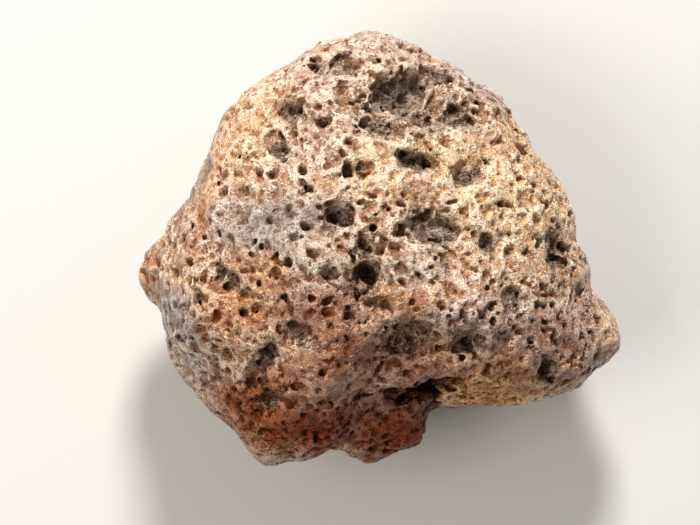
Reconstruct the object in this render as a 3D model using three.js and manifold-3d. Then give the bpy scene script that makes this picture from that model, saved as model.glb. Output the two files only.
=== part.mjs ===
// A rough agate nodule, lying on its back with the weathered face up.
// Millimetres, +Z up. The origin is on the resting plane, under the middle of the stone's box;
// +X runs along the stone's width and +Y along its length, towards the pointed crown.
import * as THREE from "three";
import { mergeVertices } from "three/addons/utils/BufferGeometryUtils.js";
import Module from "manifold-3d";

const wasm = await Module();
wasm.setup();

// ---------- Driving dimensions ----------
const WIDTH = 46.5;
const LENGTH = 41.9;
const FACE_HEIGHT = 15.0; // from the widest level up to the crown
const BACK_DEPTH = 14.5; // from the widest level down to where the back would close
const REST_DEPTH = 12.5; // from the widest level down to the flat that the stone rests on
const CROWN = new THREE.Vector2(-2.5, -4.0); // the highest part of the face, seen from above
const FACE_BULGE = 2.0; // exponent of the face's profile: 2 is an ellipse, more is boxier
const BACK_BULGE = 2.35;
const DIP = new THREE.Vector3(-0.045, 0.03, 0); // how the widest level climbs along X and Y
const FLUTE_FADE = 6.0; // distance below the widest level at which the outline's dents fade out
const BACK_PULL = 0.08; // share by which the back draws in once they have faded
const LUMP_HEIGHT = 0.6;
const RINGS = 15; // rings of the mesh from the crown to the widest level
const RING_STEP = 6; // points that each ring has more than the one inside it

// ---------- The body's outline seen from above, anticlockwise from the knob ----------
const OUTLINE = [
  [21.7, -8.6], [21.2, -6.4], [20.7, -5.1], [20.4, -3.2], [20.2, -0.9], [18.9, 0.1],
  [18.9, 2.4], [18.2, 4.7], [16.7, 7.4], [15.0, 9.2], [14.2, 11.1], [12.9, 12.0],
  [12.3, 13.8], [11.0, 15.3], [8.6, 16.2], [7.1, 17.9], [5.2, 18.5], [3.0, 19.8],
  [1.8, 20.1], [1.0, 19.8], [-0.4, 20.95], [-2.6, 20.4], [-6.0, 19.3], [-8.4, 17.8],
  [-12.0, 15.4], [-14.7, 13.0], [-15.8, 10.8], [-17.6, 7.5], [-18.6, 5.0], [-20.1, 3.3],
  [-20.9, 1.2], [-21.2, -1.5], [-21.3, -5.0], [-21.2, -7.6], [-20.6, -10.4], [-18.8, -13.1],
  [-16.7, -15.5], [-14.2, -17.6], [-12.2, -19.9], [-10.4, -20.95], [-8.8, -20.3], [-6.6, -20.2],
  [-5.2, -19.4], [-3.8, -18.2], [-2.0, -16.4], [1.5, -15.2], [4.5, -15.0], [7.0, -15.7],
  [10.0, -15.5], [14.4, -15.1], [18.2, -14.2], [20.8, -12.2],
];

// ---------- Bulges that push the wall out at a level of their own ----------
// direction and spread in degrees around the crown; level, reach above and below, and push in mm
const BULGES = [
  { direction: -10, spread: 6.8, level: 12.5, above: 3.5, below: 4.5, push: 2.0 }, // knob
  { direction: 176, spread: 10, level: 8.5, above: 4.2, below: 5.0, push: 3.3 }, // below the left rim
  { direction: -78, spread: 17, level: 10.5, above: 6.0, below: 7.0, push: 5.0 }, // lobe under the ledge
  { direction: -112, spread: 12, level: 8.0, above: 6.0, below: 5.0, push: 1.2 }, // lower left lobe
  { direction: 62, spread: 16, level: 6.0, above: 4.0, below: 4.0, push: 1.3 },
  { direction: 118, spread: 20, level: 17.0, above: 3.5, below: 4.0, push: 0.7 },
  { direction: -35, spread: 14, level: 6.5, above: 3.5, below: 4.0, push: 1.6 },
];

// ---------- Broad relief of the face: x, y, reach along, reach across, turn in degrees, height ----------
const SWELLS = [
  [-16.0, 4.5, 6.0, 2.2, 68, 1.6], // shoulder above the left wall
  [-7.5, -0.5, 5.0, 2.0, -20, 1.2], // pale ridge across the middle
  [5.5, -5.5, 6.5, 2.4, -8, 1.3], // its run towards the knob
  [-18.0, -5.5, 5.0, 2.6, -68, 1.3], // left shoulder
  [-6.5, 13.8, 3.0, 1.6, -35, 0.7], // rib beside the upper hollows
  [12.2, 9.0, 5.0, 2.4, -52, 0.9], // rib along the right-hand slope
  [2.0, 14.4, 4.4, 2.6, 12, -2.0], // upper basin
  [7.6, 12.6, 3.2, 1.9, -20, -1.2],
  [0.2, 11.4, 2.6, 1.2, 0, -0.9],
  [3.3, 8.4, 2.8, 1.4, -4, -1.2],
  [8.1, 6.8, 2.0, 1.3, 10, -0.9],
  [4.5, 1.9, 3.4, 1.7, -6, -1.3],
  [-3.8, 3.1, 1.9, 1.4, 0, -0.9],
  [-1.4, -3.2, 3.6, 1.9, 82, -2.0], // gully through the middle
  [-9.4, 9.8, 1.8, 1.4, 70, -0.7],
  [2.8, -8.8, 3.0, 2.4, 0, -1.7], // basin above the crevice
  [16.8, -0.6, 2.2, 1.5, 85, -0.9],
  [-11.0, -10.8, 4.0, 1.7, 58, -1.4], // groove on the left flank
  [3.6, -11.9, 4.6, 1.0, 12, 0.9], // ledge over the crevice
  [-4.6, -15.8, 3.6, 1.6, 20, -1.2], // valley between the two lower lobes
];

// ---------- Pits of the face: x, y, half length, half width, turn in degrees, depth ----------
const PITS = [
  // along the crown's edge
  [-3.2, 17.2, 1.2, 0.65, 8, 1.2], [-6.1, 17.4, 1.1, 0.35, -5, 0.7], [4.9, 16.5, 1.2, 0.8, -8, 1.1],
  [8.0, 15.8, 0.4, 0.6, 0, 0.8], [2.6, 19.2, 0.8, 0.4, 0, 0.5], [-0.5, 15.4, 0.5, 0.4, 0, 0.6],
  // in the upper basin
  [2.3, 14.3, 0.9, 0.65, 20, 1.3], [4.1, 14.9, 0.7, 0.6, 0, 1.1], [3.2, 15.5, 0.7, 0.5, 30, 0.8],
  [0.6, 14.6, 0.7, 0.6, 0, 0.9], [-0.5, 13.2, 0.75, 0.6, 0, 0.9], [-1.6, 11.7, 0.8, 0.6, -30, 1.0],
  [0.3, 11.6, 0.9, 0.6, 0, 1.0], [1.9, 11.6, 0.7, 0.6, 0, 0.9], [4.1, 12.4, 0.75, 0.45, 20, 1.0],
  [4.8, 13.6, 0.5, 0.55, 0, 0.7], [7.5, 13.4, 0.8, 0.6, 0, 0.9], [7.9, 12.1, 1.2, 0.5, 12, 1.3],
  [9.0, 13.9, 0.6, 0.45, -20, 0.8], [10.3, 14.3, 0.5, 0.3, -40, 0.5],
  // upper left slope
  [-9.0, 13.5, 0.9, 0.45, -5, 0.8], [-9.0, 12.2, 0.8, 0.3, 0, 0.6], [-6.9, 13.5, 0.4, 0.35, 0, 0.5],
  [-8.2, 14.8, 0.5, 0.3, 0, 0.5], [-5.2, 11.8, 0.75, 0.55, 20, 1.1], [-9.5, 10.7, 0.6, 0.35, 0, 0.6],
  [-9.7, 9.4, 1.0, 0.8, 0, 1.2], [-2.7, 9.95, 0.45, 0.45, 0, 0.7], [-6.7, 5.6, 0.9, 0.5, 0, 0.8],
  // twin pits, and those below them
  [-3.1, 7.2, 0.85, 0.8, 0, 1.5], [-1.7, 7.4, 0.5, 1.0, 0, 1.3], [-3.8, 3.1, 1.2, 0.9, 5, 1.4],
  [-0.7, 5.2, 0.45, 0.4, 0, 0.6], [-2.0, 4.5, 0.45, 0.3, 0, 0.5], [-6.9, 2.2, 0.4, 0.4, 0, 0.8],
  // right-hand slope
  [4.2, 10.0, 0.9, 0.3, -40, 0.8], [3.3, 8.4, 1.6, 0.7, -4, 1.0], [8.2, 6.9, 1.1, 0.7, 10, 1.0],
  [10.1, 8.6, 0.45, 0.4, 0, 0.6], [11.3, 4.5, 0.5, 0.4, 0, 0.6], [14.4, 4.4, 0.4, 0.35, 0, 0.5],
  [17.2, 4.6, 0.55, 0.45, 0, 0.6], [3.7, 3.6, 0.3, 0.55, 0, 0.8], [4.6, 1.5, 1.4, 0.8, 0, 1.1],
  [0.6, 3.9, 0.5, 0.4, 0, 0.6], [1.8, 1.6, 0.8, 0.5, 0, 0.8], [6.5, 1.6, 0.7, 0.45, 0, 0.7],
  [10.2, 0.4, 0.6, 0.5, 0, 0.9], [17.1, 0.3, 0.6, 0.65, 0, 1.0], [16.6, -1.4, 0.7, 1.0, 0, 1.2],
  // across the middle
  [-0.6, 2.1, 0.4, 0.4, 0, 0.8], [-1.3, 0.3, 0.75, 0.9, 0, 1.2], [-1.4, -2.6, 0.95, 1.2, 8, 2.4],
  [-2.0, -4.3, 0.7, 0.8, 0, 1.7], [0.0, -4.6, 0.8, 0.45, 0, 0.8], [-8.2, 1.0, 0.8, 0.35, 0, 0.6],
  [-3.8, 0.4, 0.65, 0.4, 0, 0.7], [-4.5, -2.2, 0.55, 0.5, 0, 0.8], [-2.9, -6.1, 0.5, 0.65, 0, 1.0],
  [-4.8, -6.1, 0.5, 0.45, 0, 0.7], [6.1, -1.1, 0.65, 0.4, 0, 0.8], [12.6, -4.0, 0.5, 0.5, 0, 1.2],
  [12.3, -5.3, 0.6, 0.45, 0, 0.7], [15.8, -4.2, 0.6, 0.35, 0, 0.7], [10.4, -6.5, 0.4, 0.4, 0, 0.6],
  // left flank
  [-14.0, -3.3, 0.75, 0.65, 30, 1.0], [-17.0, -4.6, 0.5, 0.85, 0, 0.9], [-8.1, -7.9, 0.9, 0.7, 10, 1.2],
  [-10.6, -9.8, 1.3, 0.65, 58, 1.1], [-11.0, -13.9, 1.2, 0.7, 20, 0.9], [-8.7, -14.8, 1.3, 0.65, 40, 1.0],
  // around the basin above the crevice, and the knob
  [2.8, -8.3, 1.3, 1.0, 20, 1.2], [5.0, -8.1, 0.5, 0.5, 0, 0.7], [8.4, -8.7, 0.9, 0.5, 0, 0.8],
  [7.7, -10.1, 0.4, 0.35, 0, 0.8], [-1.4, -13.4, 0.7, 0.45, 0, 0.7], [15.6, -11.5, 0.75, 1.0, 0, 1.4],
  [19.1, -10.2, 0.5, 0.4, 0, 0.6],
];
const LARGE_PIT = 1.25; // half length from which a pit gets the most facets
const SMALL_PIT = 0.6; // half length up to which it gets the fewest
const PIT_ROUGHNESS = 0.25; // share by which a pit's corners stray
const UPRIGHT = 0.8; // how much a pit's axis is drawn from the surface's normal towards +Z

// ---------- The crevice under the ledge: overlapping pockets along a line ----------
const CREVICE_START = new THREE.Vector2(1.6, -14.3);
const CREVICE_END = new THREE.Vector2(7.0, -12.9);
const CREVICE_POCKETS = 4;
const CREVICE_SIZE = new THREE.Vector3(1.5, 1.0, 3.0); // half length, half width, depth
const CREVICE_AXIS = new THREE.Vector3(0.05, -0.62, 0.78); // leans out, so that the ledge overhangs

// Pits of the walls and the back, which repeat the face's at random.
const WALL_PITS = 22;
const WALL_PIT_RADIUS = [0.5, 1.2];
const WALL_PIT_DEPTH = 0.8; // share of the radius
const SEED = 7;

// ---------- Small helpers ----------
// A repeatable random number from 0 to 1 (the Park-Miller generator).
function randomFrom(seed) {
  let state = seed;
  return () => {
    state = (state * 48271) % 2147483647;
    return state / 2147483647;
  };
}

// The low lumps that a weathered nodule has all over, as waves that never line up.
function lumpiness(p) {
  const long = Math.sin(0.71 * p.x + 0.4) * Math.sin(0.63 * p.y - 1.1) * Math.sin(0.58 * p.z + 0.7);
  const middle = Math.sin(1.25 * p.x + 0.5 * p.y + 2.0) * Math.sin(1.1 * p.y - 0.6 * p.z);
  const short = Math.sin(2.1 * p.x - 0.9 * p.y + 0.3) * Math.sin(1.9 * p.y + 1.2 * p.z + 1.7);
  return 0.55 * long + 0.3 * middle + 0.15 * short;
}

// A three.js geometry as a manifold solid.
function solidFrom(geometry) {
  const bare = geometry.clone();
  for (const name of Object.keys(bare.attributes)) {
    if (name !== "position") bare.deleteAttribute(name);
  }
  const merged = mergeVertices(bare, 1e-4);
  return new wasm.Manifold(
    new wasm.Mesh({
      numProp: 3,
      vertProperties: new Float32Array(merged.attributes.position.array),
      triVerts: new Uint32Array(merged.index.array),
    }),
  );
}

// A manifold solid as a three.js geometry.
function geometryFrom(solid) {
  const { vertProperties, triVerts } = solid.getMesh();
  const geometry = new THREE.BufferGeometry();
  geometry.setAttribute("position", new THREE.BufferAttribute(new Float32Array(vertProperties), 3));
  geometry.setIndex(new THREE.BufferAttribute(new Uint32Array(triVerts), 1));
  return geometry;
}

// ---------- The nodule's own form ----------
// How far the outline lies from the crown in each direction, read off a closed curve.
function outlineReach() {
  const corners = OUTLINE.map(([x, y]) => new THREE.Vector3(x - CROWN.x, y - CROWN.y, 0));
  const curve = new THREE.CatmullRomCurve3(corners, true, "centripetal");
  const polar = curve
    .getPoints(720)
    .map((p) => [Math.atan2(p.y, p.x), Math.hypot(p.x, p.y)])
    .sort((a, b) => a[0] - b[0]);
  return (angle) => {
    const turned = Math.atan2(Math.sin(angle), Math.cos(angle));
    const after = Math.max(0, polar.findIndex(([a]) => a >= turned));
    const [a1, r1] = polar[after];
    const [a0, r0] = polar[(after + polar.length - 1) % polar.length];
    return a1 > a0 ? r0 + ((r1 - r0) * (turned - a0)) / (a1 - a0) : r1;
  };
}

// The same outline without its dents: the mean reach over a window of directions.
function smoothed(reachAt) {
  const window = 0.45;
  const samples = 9;
  return (angle) => {
    let sum = 0;
    for (let i = 0; i < samples; i++) sum += reachAt(angle + window * (i / (samples - 1) - 0.5) * 2);
    return sum / samples;
  };
}

// Height of the broad swells and hollows over a point of the face.
function swellHeight(x, y) {
  let height = 0;
  for (const [cx, cy, along, across, turn, rise] of SWELLS) {
    const angle = THREE.MathUtils.degToRad(turn);
    const dx = x - cx;
    const dy = y - cy;
    const u = (dx * Math.cos(angle) + dy * Math.sin(angle)) / along;
    const v = (dy * Math.cos(angle) - dx * Math.sin(angle)) / across;
    height += rise * Math.exp(-u * u - v * v);
  }
  return height;
}

// How far the bulges push the wall out in a direction, at a level.
function bulgePush(angle, level) {
  let push = 0;
  for (const bulge of BULGES) {
    const turn = angle - THREE.MathUtils.degToRad(bulge.direction);
    const across = THREE.MathUtils.radToDeg(Math.atan2(Math.sin(turn), Math.cos(turn))) / bulge.spread;
    const away = (level - bulge.level) / (level > bulge.level ? bulge.above : bulge.below);
    push += bulge.push * Math.exp(-(across ** 4) - away * away);
  }
  return push;
}

const reach = outlineReach();
const smoothReach = smoothed(reach);

// A point of the surface: share is 0 at the crown and 1 at the widest level, and side +1 is the face.
function surfacePoint(share, angle, side) {
  const bulge = side > 0 ? FACE_BULGE : BACK_BULGE;
  const tilt = (share * Math.PI) / 2;
  const out = Math.pow(Math.sin(tilt), 2 / bulge);
  const up = Math.pow(Math.max(Math.cos(tilt), 0), 2 / bulge);
  const rise = up * (side > 0 ? FACE_HEIGHT : -BACK_DEPTH);
  const kept = side > 0 ? 1 : Math.exp(-((rise / FLUTE_FADE) ** 2));
  const rim = smoothReach(angle) * (1 - BACK_PULL);
  const r = out * (rim + (reach(angle) - rim) * kept + bulgePush(angle, REST_DEPTH + rise));
  const p = new THREE.Vector3(CROWN.x + r * Math.cos(angle), CROWN.y + r * Math.sin(angle), rise);
  p.z += REST_DEPTH + DIP.dot(p) * (1 - up);
  if (side > 0) p.z += swellHeight(p.x, p.y) * Math.min(1, 2.5 * up);
  const lump = LUMP_HEIGHT * lumpiness(p);
  p.z += side * lump * up;
  p.x += lump * out * Math.cos(angle) * (1 - share ** 6);
  p.y += lump * out * Math.sin(angle) * (1 - share ** 6);
  return p;
}

// The body: two domes of rings that share the outermost ring.
function bodyForm() {
  const points = [];
  const ringStart = { 1: [], [-1]: [] };
  for (const side of [1, -1]) {
    for (let ring = 0; ring <= RINGS; ring++) {
      if (side < 0 && ring === RINGS) {
        ringStart[side].push(ringStart[1][RINGS]);
        continue;
      }
      ringStart[side].push(points.length);
      const count = Math.max(1, ring * RING_STEP);
      for (let i = 0; i < count; i++) {
        points.push(surfacePoint(ring / RINGS, (i / count) * 2 * Math.PI, side));
      }
    }
  }
  const faces = [];
  for (const side of [1, -1]) {
    for (let ring = 1; ring <= RINGS; ring++) {
      const outer = ringStart[side][ring];
      const inner = ringStart[side][ring - 1];
      const outerCount = ring * RING_STEP;
      const innerCount = Math.max(1, (ring - 1) * RING_STEP);
      for (let sector = 0; sector < RING_STEP; sector++) {
        for (let i = 0; i < ring; i++) {
          const a = outer + ((sector * ring + i) % outerCount);
          const b = outer + ((sector * ring + i + 1) % outerCount);
          const c = inner + ((sector * (ring - 1) + i) % innerCount);
          faces.push(side > 0 ? [a, b, c] : [b, a, c]);
          if (i < ring - 1) {
            const d = inner + ((sector * (ring - 1) + i + 1) % innerCount);
            faces.push(side > 0 ? [c, b, d] : [b, c, d]);
          }
        }
      }
    }
  }
  const geometry = new THREE.BufferGeometry().setFromPoints(points);
  geometry.setIndex(faces.flat());
  return geometry;
}

const form = bodyForm();

// ---------- Making pits and the crevice ----------
const formMesh = new THREE.Mesh(form, new THREE.MeshBasicMaterial({ side: THREE.DoubleSide }));
const ray = new THREE.Raycaster();

// Where a line from outside first meets the form, and the form's outward normal there.
function meet(from, towards) {
  ray.set(from, towards.clone().normalize());
  const hit = ray.intersectObject(formMesh)[0];
  const normal = hit.face.normal.clone();
  if (normal.dot(ray.ray.direction) > 0) normal.negate();
  return { point: hit.point, normal };
}

// The solid that is cut away for one pit: a rough egg, centred on the surface.
function pitSolid(at, axis, halfLength, halfWidth, turn, depth, random) {
  const [sides, rows] = halfLength > LARGE_PIT ? [9, 6] : halfLength > SMALL_PIT ? [7, 4] : [6, 4];
  const egg = new THREE.SphereGeometry(1, sides, rows).rotateX(Math.PI / 2);
  const merged = mergeVertices(egg.deleteAttribute("normal").deleteAttribute("uv"), 1e-4);
  const place = merged.attributes.position;
  for (let i = 0; i < place.count; i++) {
    const rough = 1 + PIT_ROUGHNESS * (random() - 0.5);
    place.setXYZ(i, place.getX(i) * rough, place.getY(i) * rough, place.getZ(i) * rough);
  }
  merged.scale(halfLength, halfWidth, depth);
  merged.rotateZ(THREE.MathUtils.degToRad(turn));
  merged.applyQuaternion(new THREE.Quaternion().setFromUnitVectors(new THREE.Vector3(0, 0, 1), axis));
  merged.translate(at.x, at.y, at.z);
  return solidFrom(merged);
}

// Where the face lies straight under (x, y).
function meetFace(x, y) {
  return meet(new THREE.Vector3(x, y, 100), new THREE.Vector3(0, 0, -1));
}

function facePit([x, y, halfLength, halfWidth, turn, depth], random) {
  const { point, normal } = meetFace(x, y);
  const axis = normal.add(new THREE.Vector3(0, 0, UPRIGHT)).normalize();
  return pitSolid(point, axis, halfLength, halfWidth, turn, depth, random);
}

function crevice(random) {
  const run = CREVICE_END.clone().sub(CREVICE_START);
  const turn = THREE.MathUtils.radToDeg(run.angle());
  const pockets = [];
  for (let i = 0; i < CREVICE_POCKETS; i++) {
    const at = CREVICE_START.clone().addScaledVector(run, i / (CREVICE_POCKETS - 1));
    const { x, y, z } = CREVICE_SIZE;
    pockets.push(pitSolid(meetFace(at.x, at.y).point, CREVICE_AXIS, x, y, turn, z, random));
  }
  return pockets;
}

// A pit anywhere on the walls or the back, clear of the resting flat.
function wallPit(random) {
  const angle = random() * 2 * Math.PI;
  const height = 1.8 + random() * (REST_DEPTH + 1.0);
  const size = WALL_PIT_RADIUS[0] + random() ** 2 * (WALL_PIT_RADIUS[1] - WALL_PIT_RADIUS[0]);
  const inwards = new THREE.Vector3(-Math.cos(angle), -Math.sin(angle), 0);
  const from = new THREE.Vector3(CROWN.x, CROWN.y, height).addScaledVector(inwards, -60);
  const { point, normal } = meet(from, inwards);
  return pitSolid(point, normal, size, size * 0.75, random() * 180, size * WALL_PIT_DEPTH, random);
}

// ---------- Assembly ----------
function restingCut() {
  const slab = new THREE.BoxGeometry(4 * WIDTH, 4 * LENGTH, WIDTH);
  slab.translate(0, 0, -WIDTH / 2);
  return solidFrom(slab);
}

function noduleSolid() {
  const random = randomFrom(SEED);
  const cuts = [restingCut(), ...PITS.map((pit) => facePit(pit, random)), ...crevice(random)];
  for (let i = 0; i < WALL_PITS; i++) cuts.push(wallPit(random));
  const cut = cuts.reduce((all, next) => all.add(next));
  return solidFrom(form).subtract(cut);
}

// Sizes the stone to its driving width and length, and centres it over the origin.
function settled(geometry) {
  geometry.computeBoundingBox();
  const size = geometry.boundingBox.getSize(new THREE.Vector3());
  geometry.scale(WIDTH / size.x, LENGTH / size.y, 1);
  geometry.computeBoundingBox();
  const centre = geometry.boundingBox.getCenter(new THREE.Vector3());
  return geometry.translate(-centre.x, -centre.y, -geometry.boundingBox.min.z);
}

const rind = new THREE.MeshStandardMaterial({ color: 0xb08d6c, roughness: 0.62, metalness: 0 });
const stone = new THREE.Mesh(settled(geometryFrom(noduleSolid())), rind);
stone.name = "agate_nodule";

const agate = new THREE.Group();
agate.add(stone);

export default agate;
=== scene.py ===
"""The agate nodule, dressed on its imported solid.

The fine stone is grown out of the solid itself. The solid is read as a field of distances on a
grid, the field is roughened and thousands of small pits are carved into it, and the surface where
the field is zero becomes one mesh. Lengths are millimetres until a mesh is made.
"""

import math
from types import SimpleNamespace

import bpy
import numpy as np
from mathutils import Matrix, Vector
from mathutils.bvhtree import BVHTree


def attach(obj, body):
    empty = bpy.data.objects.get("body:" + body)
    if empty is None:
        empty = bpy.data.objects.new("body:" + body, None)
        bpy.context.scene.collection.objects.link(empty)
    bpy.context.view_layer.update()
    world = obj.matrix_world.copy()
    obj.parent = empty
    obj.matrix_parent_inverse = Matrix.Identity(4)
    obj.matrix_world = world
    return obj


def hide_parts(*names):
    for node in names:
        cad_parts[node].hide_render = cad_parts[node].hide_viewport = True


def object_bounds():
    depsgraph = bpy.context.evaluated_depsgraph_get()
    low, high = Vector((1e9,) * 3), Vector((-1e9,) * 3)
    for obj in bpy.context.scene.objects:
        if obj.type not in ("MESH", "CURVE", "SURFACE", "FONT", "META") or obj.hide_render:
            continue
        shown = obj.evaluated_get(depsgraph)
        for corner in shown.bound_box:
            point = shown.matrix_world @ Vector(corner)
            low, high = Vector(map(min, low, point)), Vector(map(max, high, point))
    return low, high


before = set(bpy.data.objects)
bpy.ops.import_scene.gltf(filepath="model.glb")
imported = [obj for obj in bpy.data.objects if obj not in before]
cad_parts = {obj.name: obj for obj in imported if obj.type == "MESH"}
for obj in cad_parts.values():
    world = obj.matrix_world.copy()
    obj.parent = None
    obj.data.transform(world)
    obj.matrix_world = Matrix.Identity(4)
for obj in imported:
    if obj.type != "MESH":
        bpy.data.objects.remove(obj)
CAD_BOX = [list(corner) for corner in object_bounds()]

NODE = "agate_nodule"
MM = 0.001
SEED = 11

# ---------- Grids and the mesh, in millimetres ----------
STEP = 0.2  # of the fine grid
MARGIN = 1.1  # of the fine grid around the solid
COARSE_STEP = 0.5  # of the grid on which the distances to the solid are found
SPARE = 0.3  # of the coarse grid past the fine one, for places that bending pushes out
MOST_TRIANGLES = 196_000
BELL_REACH = 2.5  # how many radii a blur reaches
SLOPE_REACH = 1.5  # how many cells to each side a slope is measured over
SECOND_LATTICE = 1.27  # size of a noise's second lattice in the first's, so that they never line up
NOISE_LEVEL = 0.75  # brings the two lattices together back to about -1 to 1

# ---------- Roughening of the whole stone, in millimetres ----------
SOFTENING = 0.33  # radius over which the solid's facets are rounded off
BEND = 0.35  # by how much the solid's pits and edges are pushed out of true
BENDS = ((2.4, 1.0), (1.2, 0.6))  # size across, share of BEND
BEND_FADE = 3.0  # height above and below the outline in which the bending comes in
RAGGED = ((1.0, 0.7), (0.45, 0.45))  # size across and reach of what makes pits ragged
LUMPS = ((5.0, 0.22), (2.6, 0.28), (1.3, 0.18))  # size across, height
GRAIN = ((0.8, 0.18), (0.45, 0.12))  # size across, height, where its share is 1
RIDGE_DEPTH, RIDGE_RISE = 1.6, 0.5  # from crest to hollow, and of the crests, in that height
WEAR_REACH = 0.6  # radius over which it is seen how proud a place is
WEAR_RATE = 3.5  # share of the grain that each millimetre of being proud wears off
PLAIN_GRAIN, LEAST_GRAIN, MOST_GRAIN = 0.9, 0.5, 2.0  # its share on the flat, and its limits

# ---------- How bent eggs, which pits and walls are, and broad dents are shaped ----------
EGG_BEND = 0.6  # share of the ragged push that bends an egg, for each millimetre of half length
LONGEST_BENDING = 0.8  # half length past which an egg bends no more
DENT_BEND = 0.5  # share of the ragged push that bends a dent
DENT_FLOOR, DENT_RIM = 0.5, 1.25  # where a dent's floor and its rim end, in its half size
EGG_ROOM, DENT_ROOM = (1.35, 0.3), (1.5, 0.5)  # room around each: times its half length, plus
FACE_PIT_SINK = 0.1  # how far a pit's middle lies under the skin, in its depth
FACE_PIT_EDGE, SMALL_PIT_EDGE = 0.12, 0.08  # width of a pit's rounded rim

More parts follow.
